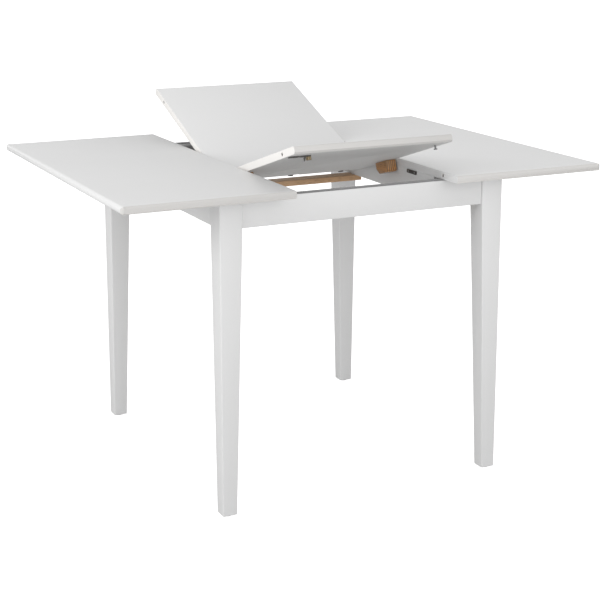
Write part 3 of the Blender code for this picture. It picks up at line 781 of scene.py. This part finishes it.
# latch: pressed plate held by two screws
latchLook = {"x": -0.167, "y": -0.405, "long": 0.054, "wide": 0.013, "thick": 0.0025, "corner": 0.0055,
             "cornerSteps": 6, "face": 0.0005, "screwXs": (-0.1875, -0.1685), "screwRadius": 0.0027,
             "screwSunk": 0.0003, "screwProud": 0.0004}
plateUnder = hangFrom - latchLook["thick"]
shape = bmesh.new()
addBox(
    shape, (latchLook["long"], latchLook["wide"], latchLook["thick"]),
    (latchLook["x"], latchLook["y"], hangFrom - latchLook["thick"] / 2),
)
roundEdges(shape, edgesAlong(shape, 2), latchLook["corner"], latchLook["cornerSteps"])
roundEdges(shape, creases(shape, 60), latchLook["face"], 2)
standIn(shape, "latchPlate", "latch_plate", "dark_steel", placeNear)
screwSet(
    "latchPlateScrews", "leaf_near",
    [(x, latchLook["y"], plateUnder + latchLook["screwSunk"]) for x in latchLook["screwXs"]],
    (0, 0, -1), latchLook["screwRadius"], latchLook["screwProud"], placeNear,
)

# knurled brass knob under the plate's end, and the hook that turns with it
knobLook = {"x": -0.146, "radius": 0.0062, "tall": 0.007, "knurls": 28, "knurlDeep": 0.955,
            "foot": ((0.0009, 0.0), (0.0006, -0.0010), (0.0018, 0.0), (0.0004, 0.0005))}
knobTop = plateUnder - fitGap
shape = bmesh.new()
knob = addRod(
    shape, knobLook["radius"], knobLook["tall"], "Z",
    (knobLook["x"], latchLook["y"], knobTop - knobLook["tall"] / 2), 2 * knobLook["knurls"])
knobAxis = Vector((knobLook["x"], latchLook["y"]))
for vert in knob:
    angle = math.atan2(vert.co.y - knobAxis.y, vert.co.x - knobAxis.x)
    if round(angle / math.pi * knobLook["knurls"]) % 2:
        vert.co.xy = knobAxis + (vert.co.xy - knobAxis) * knobLook["knurlDeep"]
bottom = min(shape.faces, key=lambda face: face.calc_center_median().z)
for thickness, depth in knobLook["foot"]:
    bmesh.ops.inset_individual(shape, faces=[bottom], thickness=thickness, depth=depth)
hookLook = {"x": -0.1565, "arm": (0.0085, 0.0036, 0.0026), "armAside": 0.0040, "armDown": 0.0020,
            "claw": (0.0020, 0.0034, 0.0078), "clawAside": 0.0002, "clawDown": 0.0052, "arris": 0.0006}
hook = bmesh.new()
addBox(
    hook, hookLook["arm"],
    (hookLook["x"] + hookLook["armAside"], latchLook["y"], knobTop - hookLook["armDown"]),
)
roundEdges(hook, hook.edges[:], hookLook["arris"], 2)
addBox(
    hook, hookLook["claw"],
    (hookLook["x"] + hookLook["clawAside"], latchLook["y"], knobTop - hookLook["clawDown"]),
)
standIn(shape, "latchKnob", "latch_knob", "knob_brass", placeNear)
finishPiece(hook, "latchHook", "latch_knob", ["dark_steel"], (), placeNear)

# tee catch: turned stem and a flat cross head
teeLook = {"x": 0.178, "stem": 0.0020, "drop": 0.0080, "head": (0.0080, 0.0042, 0.0024),
           "headDown": 0.0009, "arris": 0.0006}
shape = bmesh.new()
addRod(
    shape, teeLook["stem"], teeLook["drop"], "Z",
    (teeLook["x"], latchLook["y"], hangFrom - teeLook["drop"] / 2),
)
headZ = hangFrom - teeLook["drop"] - teeLook["headDown"]
head = softBlock(teeLook["head"], (teeLook["x"], latchLook["y"], headZ), teeLook["arris"])
headMesh = bpy.data.meshes.new("teeHeadShape")
head.to_mesh(headMesh)
head.free()
shape.from_mesh(headMesh)
standIn(shape, "teeCatch", "tee_catch", "dullSteel", placeNear)

# corner blocks with two screws each
blockLook = {"arris": 0.0008, "sharp": 35, "shortest": 0.01, "screwIn": 0.0110, "screwAside": 0.022,
             "screwRadius": 0.0030, "screwProud": 0.0005}
for node in nodesNamed(lambda node: node.startswith("corner_block")):
    shape = bmesh.new()
    shape.from_mesh(nodeObjects[node].data)
    bmesh.ops.remove_doubles(shape, verts=shape.verts[:], dist=1e-5)
    bmesh.ops.dissolve_limit(
        shape, angle_limit=math.radians(1), verts=shape.verts[:], edges=shape.edges[:])
    sharp = [
        edge for edge in shape.edges
        if edge.calc_face_angle(0) > math.radians(blockLook["sharp"])
        and edge.calc_length() > blockLook["shortest"]
    ]
    roundEdges(shape, sharp, blockLook["arris"], 2)
    name = camel("cornerBlock", node, 2)
    standIn(shape, name, node, "block_wood")
    middle = nodeBox(node)[2]
    sx, sy = math.copysign(1, middle.x), math.copysign(1, middle.y)
    inward = Vector((-sx, -sy, 0)).normalized()
    along = Vector((-sy, sx, 0) if sx == sy else (1, 1, 0)).normalized()
    faceCentre = middle + inward * blockLook["screwIn"]
    centres = [faceCentre + along * end * blockLook["screwAside"] for end in (-1, 1)]
    screwSet(
        name + "Screws", bodyOfNode[node], centres, inward, blockLook["screwRadius"], blockLook["screwProud"]
    )

# foot glides: nylon with a softened rim and a nail head let in
glideLook = {"sides": 48, "rim": 0.0012, "rimSteps": 4, "nailIn": 0.0042, "nailWall": 0.0006,
             "nailDeep": 0.0008}
for node in nodesNamed(lambda node: node.startswith("foot_glide")):
    low, high, middle, size = nodeBox(node)
    shape = bmesh.new()
    addRod(shape, size.x / 2, size.z, "Z", middle, glideLook["sides"])
    sole = min(shape.faces, key=lambda face: face.calc_center_median().z)
    roundEdges(shape, list(sole.edges), glideLook["rim"], glideLook["rimSteps"])
    shape.faces.ensure_lookup_table()
    sole = min(shape.faces, key=lambda face: (round(face.calc_center_median().z, 6), -face.calc_area()))
    bmesh.ops.inset_individual(shape, faces=[sole], thickness=glideLook["nailIn"], depth=0)
    bmesh.ops.inset_individual(
        shape, faces=[sole], thickness=glideLook["nailWall"], depth=-glideLook["nailDeep"])
    standIn(shape, camel("footGlide", node, 2), node, "nylon")

# felt strips with a soft pile edge
feltLook = {"arris": 0.0005, "steps": 3}
for node in ("glide_strip_front", "glide_strip_rear"):
    low, high, middle, size = nodeBox(node)
    felt = softBlock(size, middle, feltLook["arris"], feltLook["steps"])
    standIn(felt, camel("glideStrip", node, 2), node, "strip_felt")
print("fittings made")

# materials on the pieces whose shape is already right
special = {"top_pin": "pinWood", "leaf_pin": "pinWood", "pivot_block": "pivotWood"}
for node, nodeObject in nodeObjects.items():
    fitting = (look for start, look in special.items() if node.startswith(start))
    look = next(fitting, slotOfNode[node])
    for materialSlot in nodeObject.material_slots:
        materialSlot.material = materials[look]

# camera, floor and light
view = {"place": (-1.557, -3.267, 1.357), "turn": 25.79, "down": 12.89, "focal": 88.55,
        "sensor": 36.0, "shiftUp": -0.10}
cameraData = bpy.data.cameras.new("viewCamera")
cameraData.lens, cameraData.sensor_width = view["focal"], view["sensor"]
cameraData.shift_y = view["shiftUp"]
camera = bpy.data.objects.new("viewCamera", cameraData)
camera.location = view["place"]
camera.rotation_euler = (math.radians(90 - view["down"]), 0, math.radians(-view["turn"]))
bpy.context.scene.collection.objects.link(camera)
bpy.context.scene.camera = camera

# the floor glows only to the camera, so that it reads as white without lighting the table
room = {"floor": 0.48, "glow": 1.0, "sky": 0.82, "reach": 60}
floorMesh = bpy.data.meshes.new("studioFloor")
floorShape = bmesh.new()
bmesh.ops.create_grid(floorShape, x_segments=1, y_segments=1, size=room["reach"])
floorShape.to_mesh(floorMesh)
floorShape.free()
floor = bpy.data.objects.new("studioFloor", floorMesh)
bpy.context.scene.collection.objects.link(floor)
floorLook = bpy.data.materials.new("paleFloor")
floorLook.use_nodes = True
floorTree = floorLook.node_tree
floorShader = floorTree.nodes["Principled BSDF"]
floorShader.inputs["Base Color"].default_value = colour(*[room["floor"]] * 3)
floorShader.inputs["Roughness"].default_value = 1.0
floorShader.inputs["Specular IOR Level"].default_value = 0.0
floorShader.inputs["Emission Color"].default_value = colour(1, 1, 1)
seen = putNode(floorTree, "ShaderNodeLightPath").outputs["Is Camera Ray"]
floorTree.links.new(
    calc(floorTree, "MULTIPLY", seen, room["glow"]), floorShader.inputs["Emission Strength"])
floorMesh.materials.append(floorLook)

world = bpy.data.worlds.new("softRoom")
world.use_nodes = True
backdrop = world.node_tree.nodes["Background"]
backdrop.inputs["Color"].default_value = colour(1, 1, 1)
backdrop.inputs["Strength"].default_value = room["sky"]
bpy.context.scene.world = world
bpy.context.scene.view_settings.view_transform = "Standard"

softboxes = [
    {"name": "leftSoftbox", "place": (-3.8, -0.6, 1.4), "aim": (0, 0, 0.6), "size": 2.4, "power": 66},
    {"name": "frontSoftbox", "place": (0.9, -4.0, 1.3), "aim": (0, 0, 0.5), "size": 2.6, "power": 30},
    {"name": "lowSoftbox", "place": (-0.4, -4.4, 0.55), "aim": (0, 0.4, 0.4), "size": 2.4, "power": 34},
]
for box in softboxes:
    data = bpy.data.lights.new(box["name"], "AREA")
    data.shape, data.size, data.energy = "SQUARE", box["size"], box["power"]
    light = bpy.data.objects.new(box["name"], data)
    light.location = box["place"]
    toAim = Vector(box["aim"]) - Vector(box["place"])
    light.rotation_euler = toAim.to_track_quat("-Z", "Y").to_euler()
    bpy.context.scene.collection.objects.link(light)
print("camera and light set")
